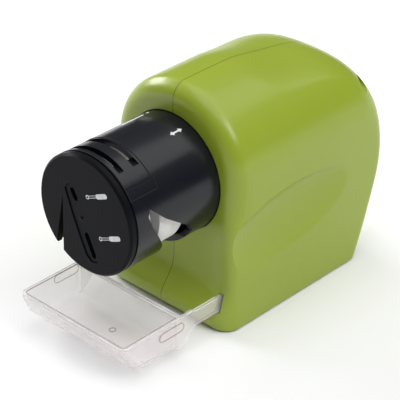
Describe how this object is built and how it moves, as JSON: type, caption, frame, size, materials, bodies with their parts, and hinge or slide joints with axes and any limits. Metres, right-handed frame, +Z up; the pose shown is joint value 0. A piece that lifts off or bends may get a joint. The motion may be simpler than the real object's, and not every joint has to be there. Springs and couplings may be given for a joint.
{
  "type": "electric knife sharpener",
  "caption": "Battery knife sharpener with a glossy moulded housing, a turning black head with knife slots and a scissor window, grinding wheels and a clear slide-out catch tray.",
  "frame": {"origin": "middle of the overall box at table height, with the tray in its open resting place", "axes": "+X to the object's own left, the side with the screw hole; +Y to the rear, the head stands out toward -Y; +Z up"},
  "size_m": [0.0754, 0.1699, 0.1103],
  "materials": {
    "housing_green": "glossy",
    "base_plastic": "fine texture",
    "screw_steel": "plated",
    "cell_jacket": "satin sleeve",
    "contact_metal": "nickel plated",
    "foot_rubber": "matte",
    "head_black": "glossy",
    "grinding_stone": "fine grit",
    "spindle_brass": "turned",
    "motor_steel": "zinc plated",
    "inner_plastic": "moulded",
    "tray_clear": "clear moulded",
    "button_green": "glossy"
  },
  "bodies": {
    "base": {"housing_left": "housing_green", "housing_right": "housing_green", "base_moulding": "base_plastic", "base_screws": "screw_steel", "side_screw": "screw_steel", "battery_1": "cell_jacket", "battery_2": "cell_jacket", "battery_3": "cell_jacket", "battery_4": "cell_jacket", "battery_contacts": "contact_metal", "battery_springs": "contact_metal", "rubber_feet": "foot_rubber", "motor_can": "motor_steel", "motor_end_bell": "inner_plastic", "motor_bracket": "inner_plastic", "micro_switch": "inner_plastic", "switch_carrier": "inner_plastic", "carrier_screws": "screw_steel"},
    "head": {"head_sleeve": "head_black", "knife_guide": "head_black", "end_cap": "head_black"},
    "spindle": {"motor_shaft": "screw_steel", "drive_hub": "spindle_brass", "knife_wheel": "grinding_stone", "wheel_spacer": "spindle_brass", "scissor_drum": "grinding_stone", "spindle_nut": "screw_steel"},
    "tray": {"catch_tray": "tray_clear"},
    "door": {"battery_door": "base_plastic"},
    "button": {"power_button": "button_green", "button_spring": "contact_metal"}
  },
  "joints": [
    {"name": "head_turn", "type": "hinge", "parent": "base", "child": "head", "pos_m": [0, -0.021, 0.0684], "axis": [0, 1, 0], "range_deg": [0, 180]},
    {"name": "spindle_spin", "type": "hinge", "parent": "base", "child": "spindle", "pos_m": [0, -0.021, 0.0684], "axis": [0, 1, 0], "continuous": true},
    {"name": "tray_slide", "type": "slide", "parent": "base", "child": "tray", "axis": [0, -1, 0], "range_m": [-0.0135, 0.02]},
    {"name": "battery_door_turn", "type": "hinge", "parent": "base", "child": "door", "pos_m": [0, -0.0006, 0.0023], "axis": [-1, 0, 0], "range_deg": [0, 100]},
    {"name": "power_button_press", "type": "slide", "parent": "base", "child": "button", "axis": [1, 0, 0], "range_m": [0, 0.0015], "stiffness_N_per_m": 500, "springref_m": -0.002}
  ]
}
